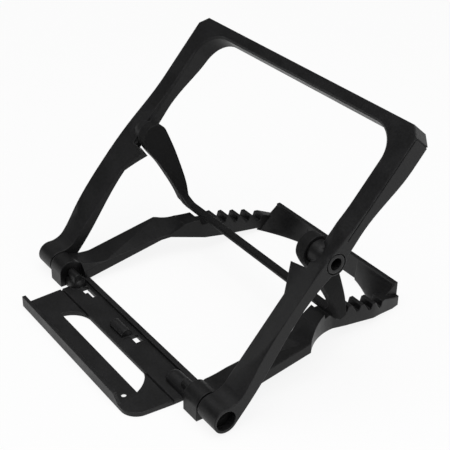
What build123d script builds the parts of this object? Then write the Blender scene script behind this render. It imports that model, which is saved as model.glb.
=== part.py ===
"""Folding stand for a photo album: base with toothed rails, leaning back frame, prop and front tray.

Every height and distance is measured from the front hinge axis unless its comment says otherwise.
"""
import os
from math import cos, radians, sin, tan

from build123d import *

# Whole stand
WIDTH = 200.0                 # over the outer faces of the back frame's arms
LEAN = 48.7                   # back frame above the table, in degrees
KNUCKLE_R = 7.5               # hinge knuckles
AXIS_HEIGHT = 8.5             # front hinge axis above the table
SIDE_GAP = 0.4                # between faces that turn beside each other
RUN_FIT = 0.06                # radial clearance of a turning pin
TRAY_FRONT = 36.5             # front of the lip, ahead of the hinge axis
BASE_REAR = 155.5             # back of the rear bar, behind the hinge axis

# Back frame, along its length and across its thickness
FRAME_LENGTH = 181.0
UPPER_REAR = 12.0             # rear face of the top bar, behind the plane through the hinge axis
REAR_CURVE = ((22.0, -7.0), (52.0, -3.6), (82.0, -3.6), (104.0, -7.2), (122.0, -6.8), (152.0, -11.5))
BOW_CURVE = ((32.0, 2.4), (62.0, 4.6), (98.0, 3.4))
BOW_START = 14.0              # the outer edge of each lower arm bows forward from here
BOW_END = 136.0
FOOT_FILLET = 12.0            # where the arm's front face runs into the knuckle
LOWER_ARM = 15.6              # width of each lower arm, seen from the front
UPPER_ARM = 13.0              # width of each upper arm
CORNER_ACROSS = 6.0           # cut outer corners
CORNER_ALONG = 5.6
TOP_BAR = 7.2                 # height of the top bar, along the frame
WINDOW_R = 17.0               # inner top corners
WINDOW_RISE = 1.4             # the upper window begins this far above the tab
TAB_START = 71.0
TAB_TIP = 87.0
TAB_TOP = 88.6
TAB_DEPTH = 8.8               # tip of the tab, in from the lower arm
NOTCH_R = 1.8
WINDOW_BEVEL = 1.1            # bevelled front edge of the window
GROOVE_START = 112.0          # fine groove in the outer face of each upper arm, beside its edges
GROOVE_INSET = 0.3
GROOVE_WIDE = 0.8
GROOVE_DEEP = 0.6

# Prop and its pivot
PIVOT_ALONG = 99.15           # pivot on the back frame
PIVOT_DEPTH = 3.1             # pivot behind the plane through the hinge axis
BOSS_R = 7.0
BOSS_REACH = 2.6              # the boss stands in from the upper arm to the prop's leg
BOSS_LAND = 2.0               # full radius this far past the arm's inner face
BOSS_FADE = 7.5               # then it fades into the arm's front
BOSS_TAPER = 11.3             # in degrees
PROP_LENGTH = 58.9            # pivot to crossbar
PROP_SLOPE = -66.3            # leg below the horizontal, in degrees
PADDLE_R = 8.6
LEG_WIDTH = 7.0
BAR_ACROSS = 5.0              # crossbar section
BAR_ALONG = 4.6
BAR_ROUND = 1.4
WEB_ALONG = 22.0              # web between leg and crossbar, up the leg
WEB_ACROSS = 16.0             # and along the crossbar
WEB_THICK = 4.2
LEG_REAR = ((16.0, 8.3), (32.0, 7.0), (48.0, 4.6))
LEG_FRONT = ((48.0, -2.4), (32.0, -3.6), (16.0, -5.8))
LEG_END_R = 2.5
LEG_CORNER = 5.0              # rounded outer corner of leg and crossbar

# Rivet of the prop
RIVET_R = 4.6
RIVET_BORE = 3.6
RIVET_FLANGE_R = 5.5
RIVET_FLANGE = 1.4
RIVET_SEAT_GAP = 0.7
RIVET_COVER = 1.8             # skin of the leg over the inner end of the rivet

# Front hinge pin
PIN_R = 1.8
PIN_HEAD_R = 5.5
PIN_HEAD = 2.5
RECESS_R = 6.0
RECESS_DEPTH = 6.5
PIN_ENGAGE = 2.8              # the pin runs this far into the tray's lug
PIN_DIMPLE_R = 1.8
PIN_DIMPLE = 0.5

# Base rails
RAIL_RISE = 10.6              # slope of the front half, in degrees
RAIL_THICK = 6.2
RAIL_WIDTH = 18.1             # front half
RAIL_FLAT = 1.5               # level outer strip at the back end of the slope; it widens to the front
RAIL_EDGE = 1.0               # width of the sloping strip where it begins
RAIL_EDGE_FALL = 0.2          # fall of that strip to the inside
RAIL_FALL = 4.6               # fall at the back end
RAIL_BLEND = 10.0             # the strip rises to the level top again over this length
KNUCKLE_SHORT = 4.7           # the knuckle ends this far outside the rail's inner face
LUG_ROOM = 0.8                # behind the tray's lug, where the rail starts
WEB_SAG = (10.0, 4.0)         # concave web from the top of the knuckle down to the rail
WEB_END = 24.0
WEB_CREST = 4.6               # web beside the lug, square to the rail's slope
SEAM = 1.2                    # between the base's knuckle and the arm's
RAIL_CLEAR = 0.5              # between the rail and the arm beside it
RAIL_TOP_END = 88.6           # back end of the sloping top
WALL_WIDTH = 10.6             # toothed rear half
WALL_CLEAR = 9.4              # between the toothed half and the prop's leg
TAIL_WIDTH = 4.5              # toothed half at the rear bar
JOG_START = 68.5              # outer face begins to draw in
JOG_MID = 80.0
JOG_CLEAR = 2.5               # outer face inside the leg at the middle of the jog
JOG_END = 98.0
INNER_JOG_START = 64.0
INNER_JOG_END = 92.0
TAIL_START = 130.0
ARCH_BACK = ((88.0, 2.2), (108.0, -1.6), (122.0, -3.6), (137.0, -5.8))
ARCH_FOOT = 150.0
ARCH_TOP = 70.0               # where the underside turns down again

# Ratchet teeth
TEETH = 5
TOOTH_PITCH = 9.6
TOOTH_FIRST = 99.7
TOOTH_FIRST_TOP = 14.0
TOOTH_FALL = 0.285            # fall of the row of tips, per millimetre
TOOTH_DEPTH = 3.4
TOOTH_LAND = 2.4
TOOTH_FACE = 1.1              # run of the steep front face
SEAT_RUN = 2.0                # flat floor between teeth
SEAT_DROP = 3.6               # floor behind the crest, below the top of the slope

# Rear bar
BAR_ROOT = 2.5                # the bar runs this far into each rail
BAR_WALL = 2.6
BAR_TOP = 7.0
GUSSET_RUN = 16.4             # ramps in the rear corners, along the rail
GUSSET_WIDTH = 43.0           # and along the bar
GUSSET_POWER = 1.6            # their front edge is concave by this power
GUSSET_SHARES = (0.2, 0.4, 0.6, 0.8, 1.0)
GUSSET_EDGE = 1.2
GUSSET_TOP = 5.8
TAIL_TOP = -1.9

# Front tray
TRAY_FLOOR = 2.6
TRAY_REAR = 9.4
TRAY_SIDE = 0.9               # between the tray and the rails' inner faces
LUG_R = 2.8                   # hinge lugs
LUG_LENGTH = 4.0              # in from the tray's side
BUMP_R = 5.4                  # half-round bumps beside the lugs
BUMP_BACK = 0.8
LEFT_BUMP = 1.0               # from the tray's side to the middle of the domed end
RIGHT_BUMP = 15.4
RIM_WALL = 3.2
RIM_HEIGHT = 2.2
CREASE_AT = 10.0              # crease line, ahead of the hinge axis
CREASE_WIDE = 1.6
CREASE_DEEP = 1.5
LEDGE_TAPER = 1.7             # each side of the ledge draws in by this to the front
LEDGE_CORNER = 10.0
LIP_HEIGHT = 7.0
LIP_WALL = 2.2
LIP_PAST = 1.6                # the lip stands out past the left front corner
LIP_SHORT = 12.2              # the lip ends before the right front corner
LIP_FADE = 5.0                # and slopes down to the ledge over this length
WINDOW_REAR = 9.6
WINDOW_FRONT = 22.6
WINDOW_LEFT_REAR = 29.0
WINDOW_LEFT_FRONT = 41.5
WINDOW_LEFT_BULGE = (38.6, 15.0)
WINDOW_RIGHT_REAR = 33.0      # the right end of the ledge's window reaches further and ends in a point
WINDOW_RIGHT_FRONT = 47.5
WINDOW_RIGHT_BULGE = (42.0, 15.0)
CLIP_R = 3.4
CLIP_RISE = 1.2               # clip axis above the top of the floor
CLIP_BACK = -1.5
CLIP_LENGTH = 14.0
CLIP_START = -13.4            # left end of the clip in the middle
MID_SLOT = 1.6                # left end of the middle slot
MID_SLOT_LENGTH = 7.4
SLOT_INSET = 6.3              # left slot, in from the tray's side
SLOT_LENGTH = 6.4
SLOT_TAIL = 6.2               # narrow end of the left slot
SLOT_STEP = 1.8
SLOT_NEAR = -0.2
SLOT_FAR = 4.4
RELIEF_HOLE_R = 1.5
RELIEF_POCKET_R = 5.0         # hollow under the hole
RELIEF_SKIN = 0.7             # floor left round the hole
RELIEF_HOLE_SIDE = 17.4       # in from the right front corner
RELIEF_HOLE_BACK = 6.6        # behind the front of the lip

# Worked out from the sizes above
AXIS_Y = (TRAY_FRONT - BASE_REAR) / 2
HALF = WIDTH / 2
FLOOR = -AXIS_HEIGHT
LOWER_INNER = HALF - LOWER_ARM
UPPER_INNER = HALF - UPPER_ARM
WINDOW_TOP = FRAME_LENGTH - TOP_BAR
WINDOW_FOOT = TAB_TOP + WINDOW_RISE
BOSS_INNER = UPPER_INNER - BOSS_REACH
LEG_OUTER = BOSS_INNER - SIDE_GAP
LEG_INNER = LEG_OUTER - LEG_WIDTH
RAIL_OUTER = LOWER_INNER - RAIL_CLEAR
RAIL_INNER = RAIL_OUTER - RAIL_WIDTH
WALL_OUTER = LEG_INNER - WALL_CLEAR
WALL_INNER = WALL_OUTER - WALL_WIDTH
WALL_TAIL = WALL_INNER + TAIL_WIDTH
BAR_HALF = WALL_INNER + BAR_ROOT
TRAY_HALF = RAIL_INNER - TRAY_SIDE
KNUCKLE_OUTER = LOWER_INNER - SEAM
KNUCKLE_INNER = RAIL_INNER + KNUCKLE_SHORT
LUG_NOTCH = BUMP_BACK + BUMP_R + LUG_ROOM
LEDGE_FRONT_HALF = TRAY_HALF - LEDGE_TAPER
PIN_END = TRAY_HALF - PIN_ENGAGE
LIP_LEFT = -LEDGE_FRONT_HALF - LIP_PAST
LIP_RIGHT = LEDGE_FRONT_HALF - LIP_SHORT
LEFT_SLOT = SLOT_INSET - TRAY_HALF
REACH = 3 * KNUCKLE_R
OVERCUT = 1.0                 # cutters run past a face by this


def side_plane(angle, x=0.0):
    """Plane seen from +X through the hinge axis: first axis backward up the slope, second square to it."""
    a = radians(angle)
    return Plane(origin=(x, AXIS_Y, AXIS_HEIGHT), x_dir=(0, cos(a), sin(a)), z_dir=(1, 0, 0))


def front_plane(angle):
    """Sloping plane through the hinge axis: first axis to the right, second backward along the slope."""
    a = radians(angle)
    return Plane(origin=(0, AXIS_Y, AXIS_HEIGHT), x_dir=(1, 0, 0), z_dir=(0, -sin(a), cos(a)))


def polygon(*points):
    return make_face(Polyline(*points, close=True))


def across(angle, sketch, start, end):
    """Extrude a side-view sketch from one distance off the middle to another."""
    return extrude(side_plane(angle, start) * sketch, end - start)


def both_sides(right):
    return right + mirror(right, about=Plane.YZ)


def frame_point(along, offset, angle=LEAN):
    """Back frame place turned into distances behind and above the hinge axis."""
    a = radians(angle)
    return along * cos(a) - offset * sin(a), along * sin(a) + offset * cos(a)


def frame_outline():
    """Front view of the right half of the back frame, with the lower arm and its tab."""
    return polygon(
        (0, WINDOW_FOOT), (0, FRAME_LENGTH),
        (HALF - CORNER_ACROSS, FRAME_LENGTH), (HALF, FRAME_LENGTH - CORNER_ALONG),
        (HALF, -KNUCKLE_R), (LOWER_INNER, -KNUCKLE_R),
        (LOWER_INNER, TAB_START), (LOWER_INNER - TAB_DEPTH, TAB_TIP),
        (UPPER_INNER - NOTCH_R, TAB_TOP), (UPPER_INNER, TAB_TOP), (UPPER_INNER, WINDOW_FOOT))


def frame_window():
    """Upper window of the back frame, with round upper corners."""
    sketch = polygon((-UPPER_INNER, WINDOW_FOOT), (UPPER_INNER, WINDOW_FOOT),
                     (UPPER_INNER, WINDOW_TOP), (-UPPER_INNER, WINDOW_TOP))
    window = fillet(sketch.vertices().sort_by(Axis.Y)[-2:], WINDOW_R)
    rim = front_plane(LEAN) * offset(window, WINDOW_BEVEL, kind=Kind.INTERSECTION)
    bevel = extrude(rim, -WINDOW_BEVEL, taper=45) + extrude(rim, REACH)
    return extrude(front_plane(LEAN) * window, REACH, both=True) + bevel


def frame_profile():
    """Side view of the back frame: thin lower arms, thick upper arms and the knuckle."""
    rear = Spline((0, -KNUCKLE_R), *REAR_CURVE, (FRAME_LENGTH, -UPPER_REAR), tangents=((1, 0), (1, 0)))
    front = Polyline((FRAME_LENGTH, -UPPER_REAR), (FRAME_LENGTH, 0), (0, 0), (0, -KNUCKLE_R))
    arm = make_face(rear + front)
    shape = arm + Circle(KNUCKLE_R)
    return fillet(shape.vertices().sort_by_distance((KNUCKLE_R, 0, 0))[:1], FOOT_FILLET)


def arm_bow():
    """Forward bow of the right lower arm, high at its outer edge and nothing at its inner one."""
    crest = max(height for _, height in BOW_CURVE)
    side = make_face(Spline((BOW_START, 0), *BOW_CURVE, (BOW_END, 0), tangents=((1, 0), (1, 0)))
                     + Line((BOW_END, 0), (BOW_START, 0)))
    slope = front_plane(LEAN)
    section = Plane(origin=slope.origin, x_dir=(1, 0, 0), z_dir=-slope.y_dir)
    ramp = polygon((LOWER_INNER, 0), (HALF, 0), (HALF, crest))
    return across(LEAN, side, LOWER_INNER, HALF) & extrude(section * ramp, -FRAME_LENGTH)


def edge_groove():
    """Side view of the groove that runs up beside the front edge and across below the cut corner."""
    top = FRAME_LENGTH - CORNER_ALONG
    near = GROOVE_INSET + GROOVE_WIDE
    along = polygon((GROOVE_START, -GROOVE_INSET), (top, -GROOVE_INSET), (top, -near), (GROOVE_START, -near))
    return along + polygon((top - GROOVE_WIDE, -GROOVE_INSET), (top, -GROOVE_INSET),
                           (top, -REACH), (top - GROOVE_WIDE, -REACH))


def pivot_boss():
    """Round boss of the right arm that reaches in to the prop's leg and fades into the arm's front."""
    fade = UPPER_INNER + BOSS_LAND
    circle = Pos(PIVOT_ALONG, -PIVOT_DEPTH) * Circle(BOSS_R)
    behind = polygon((0, 0), (FRAME_LENGTH, 0), (FRAME_LENGTH, -REACH), (0, -REACH))
    boss = across(LEAN, circle, BOSS_INNER, fade) + across(LEAN, circle & behind, UPPER_INNER, HALF)
    return boss + extrude(side_plane(LEAN, fade) * circle, BOSS_FADE, taper=BOSS_TAPER)


def back_frame():
    blank = extrude(front_plane(LEAN) * frame_outline(), REACH, both=True)
    blank = both_sides(blank)
    body = blank & (across(LEAN, frame_profile(), -HALF, HALF) + both_sides(arm_bow()))
    body -= frame_window()
    pivot = Pos(PIVOT_ALONG, -PIVOT_DEPTH)
    body += both_sides(pivot_boss())
    for side in (1, -1):
        inner = side * (LOWER_INNER - OVERCUT)
        body -= across(LEAN, Circle(PIN_R), inner, side * HALF)
        body -= across(LEAN, Circle(RECESS_R), side * (HALF - RECESS_DEPTH), side * HALF)
        body -= across(LEAN, pivot * Circle(RIVET_R), inner, side * HALF)
        seat = side * (HALF - RIVET_FLANGE)
        body -= across(LEAN, pivot * Circle(RIVET_FLANGE_R + RIVET_SEAT_GAP), seat, side * HALF)
        body -= across(LEAN, edge_groove(), side * (HALF - GROOVE_DEEP), side * HALF)
    return body


def rail_plan():
    """Plan of the right rail: wide front half, drawn in round the prop's leg, narrow toothed half."""
    start = KNUCKLE_R * sin(radians(RAIL_RISE))
    outline = (
        Polyline((KNUCKLE_INNER, start), (RAIL_OUTER, start), (RAIL_OUTER, JOG_START))
        + ThreePointArc((RAIL_OUTER, JOG_START), (LEG_INNER - JOG_CLEAR, JOG_MID), (WALL_OUTER, JOG_END))
        + Polyline((WALL_OUTER, JOG_END), (WALL_OUTER, TAIL_START), (WALL_TAIL, BASE_REAR),
                   (WALL_INNER, BASE_REAR), (WALL_INNER, INNER_JOG_END),
                   (RAIL_INNER, INNER_JOG_START), (RAIL_INNER, LUG_NOTCH),
                   (KNUCKLE_INNER, LUG_NOTCH), (KNUCKLE_INNER, start)))
    return make_face(outline)


def tooth_tip(index):
    y = TOOTH_FIRST + index * TOOTH_PITCH
    return y, TOOTH_FIRST_TOP - TOOTH_FALL * (y - TOOTH_FIRST)


def rail_profile():
    """Side view of a rail: an arch whose rear half carries the teeth."""
    slope = tan(radians(RAIL_RISE))
    level = cos(radians(RAIL_RISE))
    start = KNUCKLE_R * sin(radians(RAIL_RISE))
    under = -KNUCKLE_R / level
    over = (RAIL_THICK - KNUCKLE_R) / level
    crest = over + slope * RAIL_TOP_END
    points = [(start, under + slope * start), (ARCH_TOP, under + slope * ARCH_TOP)]
    points += list(ARCH_BACK)
    points += [(ARCH_FOOT, FLOOR), (BASE_REAR, FLOOR)]
    points += [(BASE_REAR, TAIL_TOP), (BASE_REAR - BAR_WALL, TAIL_TOP)]
    for index in reversed(range(TEETH)):
        y, z = tooth_tip(index)
        points += [(y + TOOTH_LAND, z), (y, z)]
        floor = z - TOOTH_DEPTH if index > 0 else crest - SEAT_DROP
        points += [(y - TOOTH_FACE, floor), (y - TOOTH_FACE - SEAT_RUN, floor)]
    points += [(RAIL_TOP_END + TOOTH_FACE, crest - SEAT_DROP), (RAIL_TOP_END, crest)]
    points += [(start, over + slope * start)]
    return polygon(*points)


def rail_slope():
    """Waste off the right rail's top: inner flank of the web, then a crease that runs to the outside."""
    plane = front_plane(RAIL_RISE)
    top = RAIL_THICK - KNUCKLE_R
    beside_lug = (LUG_NOTCH, KNUCKLE_INNER, WEB_CREST, top)
    front = (WEB_END, RAIL_INNER + RAIL_EDGE, top, top - RAIL_EDGE_FALL)
    back = (ARCH_TOP, RAIL_OUTER - RAIL_FLAT, top, top - RAIL_FALL)
    blend = (ARCH_TOP + RAIL_BLEND, RAIL_OUTER - RAIL_FLAT, top, top - RAIL_EDGE_FALL)
    sections = []
    for along, crease, high, low in (beside_lug, front, back, blend):
        section = Plane(origin=plane.origin + plane.y_dir * along, x_dir=(1, 0, 0), z_dir=-plane.y_dir)
        inner = WALL_INNER - OVERCUT
        outline = polygon((crease, high), (RAIL_INNER, low), (inner, low), (inner, REACH), (crease, REACH))
        sections.append(section * outline)
    return loft(sections, ruled=True)


def knuckle_web():
    """Concave web on the right rail, from the top of the knuckle to the sloping top."""
    half = RAIL_THICK / 2
    end = (WEB_END, (RAIL_THICK - KNUCKLE_R) / cos(radians(RAIL_RISE)) + tan(radians(RAIL_RISE)) * WEB_END)
    profile = make_face(ThreePointArc((0, KNUCKLE_R), WEB_SAG, end)
                        + Polyline(end, (WEB_END, end[1] - half), (0, -half), (0, KNUCKLE_R)))
    plan = polygon((KNUCKLE_INNER, 0), (KNUCKLE_OUTER, 0), (KNUCKLE_OUTER, WEB_END),
                   (RAIL_INNER, WEB_END), (RAIL_INNER, LUG_NOTCH), (KNUCKLE_INNER, LUG_NOTCH))
    return across(0, profile, 0, HALF) & extrude(Plane(origin=(0, AXIS_Y, 0)) * plan, 2 * REACH)


def rear_gusset():
    """Ramp in the right rear corner, from the bar's top down to the table, with a concave front edge."""
    wall = BASE_REAR - BAR_WALL
    root = wall + BAR_WALL / 2
    sections = []
    for share in GUSSET_SHARES:
        near = wall - GUSSET_RUN * share ** GUSSET_POWER
        outline = polygon((near, FLOOR), (root, FLOOR), (root, GUSSET_TOP), (wall, GUSSET_TOP),
                          (near, FLOOR + GUSSET_EDGE))
        sections.append(side_plane(0, BAR_HALF - GUSSET_WIDTH * (1 - share)) * outline)
    return loft(sections)


def base_frame():
    plan = Plane(origin=(0, AXIS_Y, 0))
    rail = extrude(plan * rail_plan(), 2 * REACH) & across(0, rail_profile(), 0, HALF)
    rail += knuckle_web()
    rail -= rail_slope()
    foot = polygon((-KNUCKLE_R, 0), (0, 0), (0, FLOOR), (-KNUCKLE_R, FLOOR))
    rail += across(0, Circle(KNUCKLE_R) + foot, KNUCKLE_INNER, KNUCKLE_OUTER)
    rail -= across(0, Circle(PIN_R + RUN_FIT), KNUCKLE_INNER, RAIL_OUTER)
    body = both_sides(rail)
    wall = polygon((BASE_REAR - BAR_WALL, FLOOR), (BASE_REAR, FLOOR),
                   (BASE_REAR, BAR_TOP), (BASE_REAR - BAR_WALL, BAR_TOP))
    return body + across(0, wall, -BAR_HALF, BAR_HALF) + both_sides(rear_gusset())


def prop_plane(x=0.0):
    """Side view of the prop: first axis from the pivot to the crossbar, second to the rear."""
    y, z = frame_point(PIVOT_ALONG, -PIVOT_DEPTH)
    a = radians(PROP_SLOPE)
    return Plane(origin=(x, AXIS_Y + y, AXIS_HEIGHT + z), x_dir=(0, cos(a), sin(a)), z_dir=(1, 0, 0))


def prop_front():
    """View of the prop square to its legs: first axis to the right, second from pivot to crossbar."""
    side = prop_plane()
    return Plane(origin=side.origin, x_dir=(1, 0, 0), z_dir=side.y_dir)


def leg_outline():
    """Side view of a leg: a round paddle at the pivot, drawn in to the crossbar."""
    tail = (PROP_LENGTH, LEG_END_R)
    rear = Spline((0, PADDLE_R), *LEG_REAR, tail, tangents=((1, 0), (1, 0)))
    end = RadiusArc(tail, (PROP_LENGTH, -LEG_END_R), LEG_END_R)
    front = Spline((PROP_LENGTH, -LEG_END_R), *LEG_FRONT, (0, -PADDLE_R), tangents=((-1, 0), (-1, 0)))
    paddle = RadiusArc((0, -PADDLE_R), (0, PADDLE_R), PADDLE_R)
    return make_face(rear + end + front + paddle)


def leg_corner():
    """Waste outside the rounded outer corner of the right leg, in the view square to the legs."""
    low = PROP_LENGTH + LEG_END_R
    inner = LEG_OUTER - LEG_CORNER
    outer = LEG_OUTER + OVERCUT
    return make_face(
        RadiusArc((LEG_OUTER, low - LEG_CORNER), (inner, low), LEG_CORNER)
        + Polyline((inner, low), (inner, low + OVERCUT), (outer, low + OVERCUT),
                   (outer, low - LEG_CORNER), (LEG_OUTER, low - LEG_CORNER)))


def prop():
    leg = extrude(prop_plane(LEG_INNER) * leg_outline(), LEG_OUTER - LEG_INNER)
    above = (LEG_INNER, PROP_LENGTH - WEB_ALONG)
    beside = (LEG_INNER - WEB_ACROSS, PROP_LENGTH)
    edge = Spline(beside, above, tangents=((1, 0), (0, -1)))
    web = make_face(Polyline(above, (LEG_INNER, PROP_LENGTH), beside) + edge)
    leg += extrude(prop_front() * web, WEB_THICK / 2, both=True)
    leg -= extrude(prop_front() * leg_corner(), PADDLE_R, both=True)
    bore = Circle(RIVET_R + RUN_FIT)
    leg -= extrude(prop_plane(LEG_INNER + RIVET_COVER) * bore, LEG_WIDTH - RIVET_COVER)
    body = both_sides(leg)
    section = Pos(PROP_LENGTH, 0) * RectangleRounded(BAR_ALONG, BAR_ACROSS, BAR_ROUND)
    body += extrude(prop_plane(-LEG_INNER) * section, 2 * LEG_INNER)
    return body


def ledge_window():
    """Plan of the ledge's window, with bowed ends."""
    rear_right = (WINDOW_RIGHT_REAR, -WINDOW_REAR)
    bulge_right = (WINDOW_RIGHT_BULGE[0], -WINDOW_RIGHT_BULGE[1])
    front_right = (WINDOW_RIGHT_FRONT, -WINDOW_FRONT)
    rear_left = (-WINDOW_LEFT_REAR, -WINDOW_REAR)
    bulge_left = (-WINDOW_LEFT_BULGE[0], -WINDOW_LEFT_BULGE[1])
    front_left = (-WINDOW_LEFT_FRONT, -WINDOW_FRONT)
    return make_face(
        Line(rear_left, rear_right) + ThreePointArc(rear_right, bulge_right, front_right)
        + Line(front_right, front_left) + ThreePointArc(front_left, bulge_left, rear_left))


def ledge_outline():
    """Plan of the ledge and its trough; the right front corner is rounded and the lip ends before it."""
    sketch = polygon(
        (-TRAY_HALF, TRAY_REAR), (TRAY_HALF, TRAY_REAR),
        (TRAY_HALF, -CREASE_AT), (LEDGE_FRONT_HALF, -TRAY_FRONT), (-LEDGE_FRONT_HALF, -TRAY_FRONT),
        (-TRAY_HALF, -CREASE_AT))
    corner = sketch.vertices().sort_by_distance((LEDGE_FRONT_HALF, -TRAY_FRONT, 0))[:1]
    return fillet(corner, LEDGE_CORNER)


def hinge_lug(side, length):
    """Lug of the tray on the hinge axis, on a half-round bump with a domed inner end."""
    inner = side * (TRAY_HALF - LUG_LENGTH)
    web = polygon((-LUG_R, FLOOR), (LUG_R, FLOOR), (LUG_R, 0), (-LUG_R, 0))
    lug = across(0, Circle(LUG_R) + web, inner, side * TRAY_HALF)
    half_round = Pos(BUMP_BACK, FLOOR + TRAY_FLOOR) * Circle(BUMP_R)
    dome = side * (TRAY_HALF - length)
    bump = across(0, half_round, dome, side * TRAY_HALF)
    bump += Pos(dome, AXIS_Y + BUMP_BACK, TRAY_FLOOR) * Sphere(BUMP_R)
    above = polygon((-REACH, FLOOR), (REACH, FLOOR), (REACH, REACH), (-REACH, REACH))
    bump &= across(0, above, -TRAY_HALF, TRAY_HALF)
    turning = (half_round + Circle(LUG_R)) & above
    return lug + bump + across(0, turning, side * TRAY_HALF, side * (KNUCKLE_INNER - SIDE_GAP))


def ledge_tray():
    plan = Plane(origin=(0, AXIS_Y, 0))
    body = extrude(plan * ledge_outline(), TRAY_FLOOR)
    top = FLOOR + TRAY_FLOOR
    rim = polygon((TRAY_REAR - RIM_WALL, FLOOR), (TRAY_REAR, FLOOR),
                  (TRAY_REAR, top + RIM_HEIGHT), (TRAY_REAR - RIM_WALL, top + RIM_HEIGHT))
    body += across(0, rim, -TRAY_HALF, TRAY_HALF)
    lip = polygon((-TRAY_FRONT, FLOOR), (-TRAY_FRONT + LIP_WALL, FLOOR),
                  (-TRAY_FRONT + LIP_WALL, FLOOR + LIP_HEIGHT), (-TRAY_FRONT, FLOOR + LIP_HEIGHT))
    body += across(0, lip, LIP_LEFT, LIP_RIGHT)
    face = Plane(origin=(0, AXIS_Y - TRAY_FRONT, 0), x_dir=(1, 0, 0), z_dir=(0, -1, 0))
    fade = polygon((LIP_RIGHT - LIP_FADE, LIP_HEIGHT), (LIP_RIGHT, TRAY_FLOOR),
                   (LIP_RIGHT + OVERCUT, TRAY_FLOOR), (LIP_RIGHT + OVERCUT, LIP_HEIGHT))
    body -= extrude(face * fade, -LIP_WALL)
    body += hinge_lug(1, RIGHT_BUMP) + hinge_lug(-1, LEFT_BUMP)
    clip = Pos(CLIP_BACK, top + CLIP_RISE) * Circle(CLIP_R)
    clip &= polygon((-REACH, FLOOR), (REACH, FLOOR), (REACH, REACH), (-REACH, REACH))
    body += across(0, clip, CLIP_START, CLIP_START + CLIP_LENGTH)
    tail = LEFT_SLOT + SLOT_LENGTH
    slots = ((LEFT_SLOT, SLOT_LENGTH, SLOT_NEAR), (tail, SLOT_TAIL, SLOT_NEAR + SLOT_STEP),
             (MID_SLOT, MID_SLOT_LENGTH, SLOT_NEAR))
    for start, length, near in slots:
        end = start + length
        slot = polygon((start, near), (end, near), (end, SLOT_FAR), (start, SLOT_FAR))
        body -= extrude(plan * slot, 2 * TRAY_FLOOR)
    body -= extrude(plan * ledge_window(), 2 * TRAY_FLOOR)
    crease = polygon((-CREASE_AT - CREASE_WIDE / 2, top), (-CREASE_AT + CREASE_WIDE / 2, top),
                     (-CREASE_AT, top - CREASE_DEEP))
    body -= across(0, crease, -HALF, HALF)
    hole = Pos(LEDGE_FRONT_HALF - RELIEF_HOLE_SIDE, RELIEF_HOLE_BACK - TRAY_FRONT)
    body -= extrude(plan * hole * Circle(RELIEF_HOLE_R), 2 * TRAY_FLOOR)
    body -= extrude(plan * hole * Circle(RELIEF_POCKET_R), TRAY_FLOOR - RELIEF_SKIN)
    for side in (1, -1):
        body -= across(0, Circle(PIN_R + RUN_FIT), side * (PIN_END - SIDE_GAP), side * HALF)
    return body


def hinge_pin(side):
    """Pin of the front hinge, headed in the arm's recess and ending in the tray's lug."""
    floor = side * (HALF - RECESS_DEPTH)
    pin = across(LEAN, Circle(PIN_R), side * PIN_END, floor)
    pin += across(LEAN, Circle(PIN_HEAD_R), floor, floor + side * PIN_HEAD)
    return pin - across(LEAN, Circle(PIN_DIMPLE_R), floor + side * (PIN_HEAD - PIN_DIMPLE), side * HALF)


def prop_pivot(side):
    """Hollow rivet with its flange in the arm's outer face and its barrel in the prop's leg."""
    centre = Pos(PIVOT_ALONG, -PIVOT_DEPTH)
    seat = side * (HALF - RIVET_FLANGE)
    inner = side * (LEG_INNER + RIVET_COVER + SIDE_GAP)
    rivet = across(LEAN, centre * Circle(RIVET_R), inner, seat)
    rivet += across(LEAN, centre * Circle(RIVET_FLANGE_R), seat, side * HALF)
    return rivet - across(LEAN, centre * Circle(RIVET_BORE), inner, side * HALF)


PARTS = {
    "base_frame": base_frame(),
    "back_frame": back_frame(),
    "prop": prop(),
    "ledge_tray": ledge_tray(),
    "hinge_pin_left": hinge_pin(-1),
    "hinge_pin_right": hinge_pin(1),
    "prop_pivot_left": prop_pivot(-1),
    "prop_pivot_right": prop_pivot(1),
}

os.makedirs("parts", exist_ok=True)
for name, shape in PARTS.items():
    export_step(shape, f"parts/{name}.step")
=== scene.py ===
"""Look of the folding album stand: smooth-shaded mouldings in black plastic, on a white studio floor."""
import math

import bpy
from mathutils import Matrix, Vector


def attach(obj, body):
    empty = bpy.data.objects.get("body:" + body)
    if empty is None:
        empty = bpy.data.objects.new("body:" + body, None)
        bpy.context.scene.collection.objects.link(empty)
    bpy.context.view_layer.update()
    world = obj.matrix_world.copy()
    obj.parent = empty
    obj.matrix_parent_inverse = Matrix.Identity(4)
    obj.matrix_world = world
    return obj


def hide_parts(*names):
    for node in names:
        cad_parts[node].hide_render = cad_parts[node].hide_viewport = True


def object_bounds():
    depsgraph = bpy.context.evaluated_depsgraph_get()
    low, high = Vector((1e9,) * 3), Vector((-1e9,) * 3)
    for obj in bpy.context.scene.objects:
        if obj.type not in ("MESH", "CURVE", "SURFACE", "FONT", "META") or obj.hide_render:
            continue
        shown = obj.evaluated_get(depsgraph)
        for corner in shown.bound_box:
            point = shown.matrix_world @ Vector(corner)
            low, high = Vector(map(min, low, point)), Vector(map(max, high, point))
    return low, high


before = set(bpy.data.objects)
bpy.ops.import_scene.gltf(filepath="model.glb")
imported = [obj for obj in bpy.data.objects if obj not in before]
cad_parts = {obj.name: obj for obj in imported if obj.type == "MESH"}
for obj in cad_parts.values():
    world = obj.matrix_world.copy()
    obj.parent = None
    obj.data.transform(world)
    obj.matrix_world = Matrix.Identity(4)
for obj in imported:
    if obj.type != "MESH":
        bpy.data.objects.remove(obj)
cad_low, cad_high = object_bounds()

# Merging the CAD triangles: corners closer than WELD join, faces flatter than FLAT become one,
# and edges sharper than SMOOTH stay crisp
WELD = 0.000002
FLAT = math.radians(0.05)
SMOOTH = math.radians(38)

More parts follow.
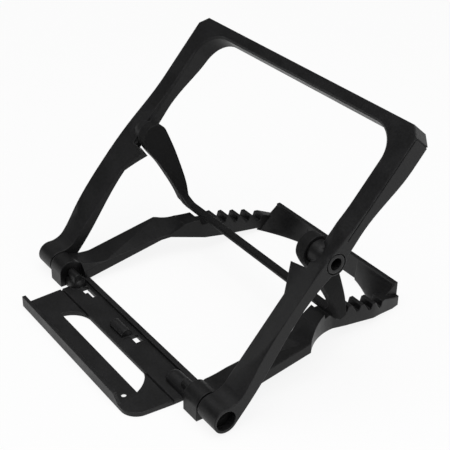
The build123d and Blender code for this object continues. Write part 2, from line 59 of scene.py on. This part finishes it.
# Black plastics: the darker and lighter tone that flecks and mottle mix
BASE_TONES = ((0.0050, 0.0050, 0.0053), (0.0110, 0.0110, 0.0114))
FRAME_TONES = ((0.0080, 0.0080, 0.0083), (0.0145, 0.0145, 0.0151))
# the prop's tones sit below the other mouldings' as painted shade for its shaded legs
PROP_TONES_WITH_PAINTED_SHADE = ((0.0035, 0.0035, 0.0037), (0.0085, 0.0085, 0.0088))
TRAY_TONES = ((0.0068, 0.0068, 0.0071), (0.0127, 0.0127, 0.0133))
RIVET_TONES = TRAY_TONES
PIN_TONES = ((0.002, 0.002, 0.002), (0.004, 0.004, 0.004))

# Roughness of the satin and the dull plastics, and how far the mottle spreads it
SATIN = 0.42
DULL = 0.70
ROUGH_SPREAD = 0.08

# Specular level of the plastics
TRAY_SHINE = 0.28
FRAME_SHINE = 0.22
PROP_SHINE = 0.17
PIN_SHINE = 0.10

# Mould texture: repeats per metre of the grain, the speckle and the mottle, the speckle's share of the tone,
# and the relief of the grain
GRAIN_SCALE = 1500.0
SPECKLE_SCALE = 700.0
MOTTLE_SCALE = 55.0
SPECKLE_SHARE = 0.6
GRAIN_STRENGTH = 0.60
GRAIN_DEPTH = 0.00012

# Rubbed edges, lighter partly from wear and partly as a painted highlight: width, samples, cosine of the turn
# where rubbing starts and is full, and their effect
EDGE_REACH = 0.0008
EDGE_SAMPLES = 6
EDGE_START = 0.995
EDGE_FULL = 0.86
EDGE_PATCH_SCALE = 140.0
# lighter edge colour: partly wear, partly a painted highlight where the edges catch light
EDGE_WEAR_AND_HIGHLIGHT_TINT = (0.06, 0.06, 0.062)
EDGE_SHARE = 0.5
EDGE_POLISH = 0.10

# Handling marks: stretched streaks and fine specks, and their effect
STREAK_STRETCH = (0.18, 1.0, 0.7)
STREAK_TURN = (0.3, 0.2, 0.5)
STREAK_SCALE = 420.0
SPECK_SCALE = 900.0
MARK_AMOUNT = 0.3
MARK_TINT = (0.05, 0.05, 0.052)
MARK_SHARE = 0.25

# Dust on faces that look up: the upward share where it starts, its patches, and their effect
DUST_START = 0.55
DUST_PATCH_SCALE = 90.0
DUST_AMOUNT = 0.15
DUST_TINT = (0.07, 0.069, 0.067)
DUST_SHARE = 0.2
DUST_DULLING = 0.12

# Room light: white backdrop near the horizon, dim walls, bright ceiling, and the heights where they blend
BACKDROP_LOW = 0.05
BACKDROP_HIGH = 0.13
WALL_TOP = 0.60
CEILING_EDGE = 0.95
WALL_LIGHT = 0.06
CEILING_LIGHT = 0.90

# Soft boxes: place, point they face, width in metres and power in watts
OVERHEAD_BOX = ((0.30, -0.30, 1.5), (0, 0, 0.05), 1.8, 16.0)
SIDE_BOX = ((1.1, 0.35, 0.75), (0, 0, 0.06), 0.7, 2.0)

# White floor: width, drop below the feet, share of even white, and its grey as seen and as light on the stand
FLOOR_SIZE = 40.0
FLOOR_DROP = 0.0002
FLOOR_GLOW = 0.88
FLOOR_SEEN = (0.95, 0.95, 0.95)
FLOOR_BOUNCE = (0.50, 0.50, 0.50)
WHITE = (1, 1, 1, 1)

# Photograph's viewpoint, in the stand's frame
CAMERA_PLACE = Vector((0.4576, -0.3140, 0.3852))
CAMERA_RIGHT = Vector((0.56963, 0.82180, 0.01269))
CAMERA_UP = Vector((-0.42359, 0.28031, 0.86139))
CAMERA_BACK = Vector((0.70434, -0.49606, 0.50778))
CAMERA_LENS = 88.0
CAMERA_SENSOR = 36.0


def clear_selection():
    bpy.ops.object.select_all(action="DESELECT")


def work_on(piece):
    clear_selection()
    piece.select_set(True)
    bpy.context.view_layer.objects.active = piece


def moulding(node, name, body):
    """Copy of a CAD solid with its triangles merged into faces, smooth where the solid is curved."""
    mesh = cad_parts[node].data.copy()
    mesh.name = name
    piece = bpy.data.objects.new(name, mesh)
    bpy.context.scene.collection.objects.link(piece)
    work_on(piece)
    bpy.ops.object.mode_set(mode="EDIT")
    bpy.ops.mesh.select_mode(type="EDGE")
    bpy.ops.mesh.select_all(action="SELECT")
    bpy.ops.mesh.customdata_custom_splitnormals_clear()
    bpy.ops.mesh.remove_doubles(threshold=WELD)
    bpy.ops.mesh.dissolve_limited(angle_limit=FLAT)
    bpy.ops.object.mode_set(mode="OBJECT")
    bpy.ops.object.shade_smooth_by_angle(angle=SMOOTH)
    bpy.ops.object.modifier_add(type="WEIGHTED_NORMAL")
    piece.modifiers[-1].keep_sharp = True
    bpy.ops.object.modifier_apply(modifier=piece.modifiers[-1].name)
    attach(piece, body)
    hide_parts(node)
    return piece


def new_group(name, inputs, outputs):
    """Shader node group with named float inputs and named float outputs."""
    group = bpy.data.node_groups.new(name, "ShaderNodeTree")
    for label, value in inputs:
        socket = group.interface.new_socket(label, in_out="INPUT", socket_type="NodeSocketFloat")
        socket.default_value = value
    for label in outputs:
        group.interface.new_socket(label, in_out="OUTPUT", socket_type="NodeSocketFloat")
    entry = group.nodes.new("NodeGroupInput")
    leave = group.nodes.new("NodeGroupOutput")
    return group, entry, leave


def node_in(tree, kind, **settings):
    made = tree.nodes.new(kind)
    for key, value in settings.items():
        setattr(made, key, value)
    return made


def noise(tree, coordinates, scale, detail, roughness=0.55):
    """Noise pattern; its scale is a number or another node's output."""
    made = node_in(tree, "ShaderNodeTexNoise")
    made.inputs["Detail"].default_value = detail
    made.inputs["Roughness"].default_value = roughness
    tree.links.new(coordinates, made.inputs["Vector"])
    if isinstance(scale, float):
        made.inputs["Scale"].default_value = scale
    else:
        tree.links.new(scale, made.inputs["Scale"])
    return made.outputs["Fac"]


def ranged(tree, value, low, high, to_low=0.0, to_high=1.0):
    """Smooth step of a value from one range to another."""
    made = node_in(tree, "ShaderNodeMapRange", interpolation_type="SMOOTHSTEP")
    made.inputs["From Min"].default_value = low
    made.inputs["From Max"].default_value = high
    made.inputs["To Min"].default_value = to_low
    made.inputs["To Max"].default_value = to_high
    tree.links.new(value, made.inputs["Value"])
    return made.outputs["Result"]


def maths(tree, operation, first, second):
    """Sum, product or the like of two values, each a number or another node's output."""
    made = node_in(tree, "ShaderNodeMath", operation=operation)
    for place, value in enumerate((first, second)):
        if isinstance(value, (int, float)):
            made.inputs[place].default_value = value
        else:
            tree.links.new(value, made.inputs[place])
    return made.outputs["Value"]


def build_mould_grain():
    """Spark-eroded mould texture: grain for bump, mottle for gloss, flecks and mottle for tone."""
    outputs = ["Height", "Mottle", "Tone"]
    group, entry, leave = new_group("mould_grain", [("Grain Scale", GRAIN_SCALE)], outputs)
    place = node_in(group, "ShaderNodeTexCoord").outputs["Object"]
    fine = noise(group, place, entry.outputs["Grain Scale"], detail=3.0)
    slow = noise(group, place, MOTTLE_SCALE, detail=4.0, roughness=0.6)
    cloud = ranged(group, slow, low=0.32, high=0.68)
    speckle = ranged(group, noise(group, place, SPECKLE_SCALE, detail=2.0), low=0.30, high=0.70)
    fleck = maths(group, "MULTIPLY", speckle, SPECKLE_SHARE)
    patch = maths(group, "MULTIPLY", cloud, 1.0 - SPECKLE_SHARE)
    group.links.new(fine, leave.inputs["Height"])
    group.links.new(cloud, leave.inputs["Mottle"])
    group.links.new(maths(group, "ADD", fleck, patch), leave.inputs["Tone"])
    return group


def build_rubbed_and_highlit_edges():
    """Edges polished by handling and lightened as a painted highlight: a mask broken up by noise, and the
    rounded normal.
    """
    group, entry, leave = new_group("rubbed_and_highlit_edges", [("Reach", EDGE_REACH)], ["Mask"])
    group.interface.new_socket("Normal", in_out="OUTPUT", socket_type="NodeSocketVector")
    place = node_in(group, "ShaderNodeTexCoord").outputs["Object"]
    rounded = node_in(group, "ShaderNodeBevel", samples=EDGE_SAMPLES)
    group.links.new(entry.outputs["Reach"], rounded.inputs["Radius"])
    surface = node_in(group, "ShaderNodeNewGeometry").outputs["Normal"]
    facing = node_in(group, "ShaderNodeVectorMath", operation="DOT_PRODUCT")
    group.links.new(rounded.outputs["Normal"], facing.inputs[0])
    group.links.new(surface, facing.inputs[1])
    edge = ranged(group, facing.outputs["Value"], low=EDGE_START, high=EDGE_FULL)
    patches = ranged(group, noise(group, place, EDGE_PATCH_SCALE, detail=4.0), low=0.30, high=0.70)
    group.links.new(maths(group, "MULTIPLY", edge, patches), leave.inputs["Mask"])
    group.links.new(rounded.outputs["Normal"], leave.inputs["Normal"])
    return group


def build_handling_marks():
    """Faint streaks and specks left by handling, as a mask."""
    group, entry, leave = new_group("handling_marks", [("Amount", MARK_AMOUNT)], ["Mask"])
    place = node_in(group, "ShaderNodeTexCoord").outputs["Object"]
    stretch = node_in(group, "ShaderNodeMapping")
    stretch.inputs["Scale"].default_value = STREAK_STRETCH
    stretch.inputs["Rotation"].default_value = STREAK_TURN
    group.links.new(place, stretch.inputs["Vector"])
    lines = noise(group, stretch.outputs["Vector"], STREAK_SCALE, detail=5.0, roughness=0.65)
    streaks = ranged(group, lines, low=0.60, high=0.72)
    specks = ranged(group, noise(group, place, SPECK_SCALE, detail=1.0), low=0.72, high=0.78)
    both = maths(group, "MAXIMUM", streaks, specks)
    group.links.new(maths(group, "MULTIPLY", both, entry.outputs["Amount"]), leave.inputs["Mask"])
    return group


def build_settled_dust():
    """Thin film on faces that look upward when the stand is open, as a mask."""
    group, entry, leave = new_group("settled_dust", [("Amount", DUST_AMOUNT)], ["Mask"])
    coordinates = node_in(group, "ShaderNodeTexCoord")
    upward = node_in(group, "ShaderNodeSeparateXYZ")
    group.links.new(coordinates.outputs["Normal"], upward.inputs["Vector"])
    level = ranged(group, upward.outputs["Z"], low=DUST_START, high=1.0)
    cloud = noise(group, coordinates.outputs["Object"], DUST_PATCH_SCALE, detail=5.0, roughness=0.6)
    patches = ranged(group, cloud, low=0.25, high=0.75, to_low=0.35, to_high=1.0)
    film = maths(group, "MULTIPLY", level, patches)
    group.links.new(maths(group, "MULTIPLY", film, entry.outputs["Amount"]), leave.inputs["Mask"])
    return group


GROUPS = {
    "grain": build_mould_grain(),
    "edges": build_rubbed_and_highlit_edges(),
    "marks": build_handling_marks(),
    "dust": build_settled_dust(),
}


def use_group(tree, key, label, value):
    """Place a shared effect in a material, with its one input set."""
    made = tree.nodes.new("ShaderNodeGroup")
    made.node_tree = GROUPS[key]
    made.inputs[label].default_value = value
    return made


def tint(tree, mask, below, above):
    """Mix two colours, or a colour socket and a colour, by a mask."""
    made = node_in(tree, "ShaderNodeMix", data_type="RGBA")
    tree.links.new(mask, made.inputs["Factor"])
    for label, value in (("A", below), ("B", above)):
        socket = next(s for s in made.inputs if s.name == label and s.type == "RGBA")
        if isinstance(value, tuple):
            socket.default_value = (*value, 1.0)
        else:
            tree.links.new(value, socket)
    return next(s for s in made.outputs if s.type == "RGBA")


def black_plastic(name, tones, roughness=SATIN, shine=TRAY_SHINE):
    """Moulded black plastic: mottled tone, rubbed edges lightened partly as a painted highlight, handling
    marks, dust and a spark-eroded grain.
    """
    dark, light = tones
    material = bpy.data.materials.new(name)
    material.use_nodes = True
    tree = material.node_tree
    shader = tree.nodes["Principled BSDF"]
    grain = use_group(tree, "grain", "Grain Scale", GRAIN_SCALE)
    edges = use_group(tree, "edges", "Reach", EDGE_REACH)
    marks = use_group(tree, "marks", "Amount", MARK_AMOUNT)
    dust = use_group(tree, "dust", "Amount", DUST_AMOUNT)
    mottle = grain.outputs["Mottle"]
    colour = tint(tree, grain.outputs["Tone"], dark, light)
    for layer, share, shade in (
        # edge layer: lighter edges, partly wear and partly a painted highlight
        (edges, EDGE_SHARE, EDGE_WEAR_AND_HIGHLIGHT_TINT),
        (marks, MARK_SHARE, MARK_TINT),
        (dust, DUST_SHARE, DUST_TINT),
    ):
        colour = tint(tree, maths(tree, "MULTIPLY", layer.outputs["Mask"], share), colour, shade)
    tree.links.new(colour, shader.inputs["Base Color"])
    smoothest, roughest = roughness - ROUGH_SPREAD / 2, roughness + ROUGH_SPREAD / 2
    rough = ranged(tree, mottle, low=0.0, high=1.0, to_low=smoothest, to_high=roughest)
    rough = maths(tree, "SUBTRACT", rough, maths(tree, "MULTIPLY", edges.outputs["Mask"], EDGE_POLISH))
    rough = maths(tree, "ADD", rough, maths(tree, "MULTIPLY", dust.outputs["Mask"], DUST_DULLING))
    tree.links.new(rough, shader.inputs["Roughness"])
    bump = node_in(tree, "ShaderNodeBump")
    bump.inputs["Strength"].default_value = GRAIN_STRENGTH
    bump.inputs["Distance"].default_value = GRAIN_DEPTH
    tree.links.new(grain.outputs["Height"], bump.inputs["Height"])
    tree.links.new(edges.outputs["Normal"], bump.inputs["Normal"])
    tree.links.new(bump.outputs["Normal"], shader.inputs["Normal"])
    shader.inputs["Specular IOR Level"].default_value = shine
    return material


def finish_with(piece, material):
    piece.data.materials.clear()
    piece.data.materials.append(material)


def plain_floor():
    """White floor that looks nearly even and keeps a faint trace of the stand's shadow."""
    clear_selection()
    bpy.ops.mesh.primitive_plane_add(size=FLOOR_SIZE, location=(0, 0, cad_low.z - FLOOR_DROP))
    floor = bpy.context.object
    floor.name = "studio_floor"
    material = bpy.data.materials.new("white_floor")
    material.use_nodes = True
    tree = material.node_tree
    tree.nodes.clear()
    out = tree.nodes.new("ShaderNodeOutputMaterial")
    matte = tree.nodes.new("ShaderNodeBsdfDiffuse")
    glow = tree.nodes.new("ShaderNodeEmission")
    glow.inputs["Color"].default_value = WHITE
    rays = tree.nodes.new("ShaderNodeLightPath")
    seen = maths(tree, "MAXIMUM", rays.outputs["Is Camera Ray"], rays.outputs["Is Glossy Ray"])
    seen = maths(tree, "MAXIMUM", seen, rays.outputs["Is Transmission Ray"])
    tree.links.new(tint(tree, seen, FLOOR_BOUNCE, FLOOR_SEEN), matte.inputs["Color"])
    mix = tree.nodes.new("ShaderNodeMixShader")
    tree.links.new(maths(tree, "MULTIPLY", seen, FLOOR_GLOW), mix.inputs["Fac"])
    tree.links.new(matte.outputs["BSDF"], mix.inputs[1])
    tree.links.new(glow.outputs["Emission"], mix.inputs[2])
    tree.links.new(mix.outputs["Shader"], out.inputs["Surface"])
    finish_with(floor, material)


def soft_box(name, place, target, size, power):
    """Square area lamp that faces a point."""
    lamp = bpy.data.lights.new(name, "AREA")
    lamp.shape = "SQUARE"
    lamp.size = size
    lamp.energy = power
    holder = bpy.data.objects.new(name, lamp)
    holder.location = place
    holder.rotation_euler = (Vector(target) - Vector(place)).to_track_quat("-Z", "Y").to_euler()
    bpy.context.scene.collection.objects.link(holder)


def studio():
    """Soft room light that changes with height, and two soft boxes."""
    world = bpy.data.worlds.new("soft_room")
    world.use_nodes = True
    tree = world.node_tree
    room = tree.nodes["Background"]
    room.inputs["Color"].default_value = WHITE
    direction = node_in(tree, "ShaderNodeSeparateXYZ")
    tree.links.new(node_in(tree, "ShaderNodeTexCoord").outputs["Generated"], direction.inputs["Vector"])
    height = direction.outputs["Z"]
    walls = ranged(tree, height, low=WALL_TOP, high=CEILING_EDGE, to_low=WALL_LIGHT, to_high=CEILING_LIGHT)
    backdrop = ranged(tree, height, low=BACKDROP_LOW, high=BACKDROP_HIGH, to_low=1.0, to_high=0.0)
    tree.links.new(maths(tree, "MAXIMUM", walls, backdrop), room.inputs["Strength"])
    bpy.context.scene.world = world
    soft_box("overhead_box", *OVERHEAD_BOX)
    soft_box("side_box", *SIDE_BOX)


def camera():
    """Camera at the photograph's viewpoint."""
    eye = bpy.data.cameras.new("photo_camera")
    eye.lens = CAMERA_LENS
    eye.sensor_width = CAMERA_SENSOR
    holder = bpy.data.objects.new("photo_camera", eye)
    turn = Matrix((CAMERA_RIGHT, CAMERA_UP, CAMERA_BACK)).transposed().to_4x4()
    holder.matrix_world = Matrix.Translation(CAMERA_PLACE) @ turn
    bpy.context.scene.collection.objects.link(holder)
    bpy.context.scene.camera = holder


base = moulding("base_frame", "base_moulding", "base")
back = moulding("back_frame", "frame_moulding", "back")
prop = moulding("prop", "prop_moulding", "prop")
tray = moulding("ledge_tray", "tray_moulding", "ledge")

finish_with(base, black_plastic("base_plastic_look", BASE_TONES, shine=FRAME_SHINE))
finish_with(back, black_plastic("frame_plastic_look", FRAME_TONES, shine=FRAME_SHINE))
finish_with(prop, black_plastic("prop_plastic_look", PROP_TONES_WITH_PAINTED_SHADE, roughness=DULL, shine=PROP_SHINE))
finish_with(tray, black_plastic("tray_plastic_look", TRAY_TONES))
pin_look = black_plastic("pin_plastic_look", PIN_TONES, roughness=DULL, shine=PIN_SHINE)
rivet_look = black_plastic("rivet_plastic_look", RIVET_TONES)
for side in ("left", "right"):
    finish_with(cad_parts["hinge_pin_" + side], pin_look)
    finish_with(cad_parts["prop_pivot_" + side], rivet_look)

plain_floor()
studio()
camera()
bpy.context.scene.view_settings.view_transform = "Standard"
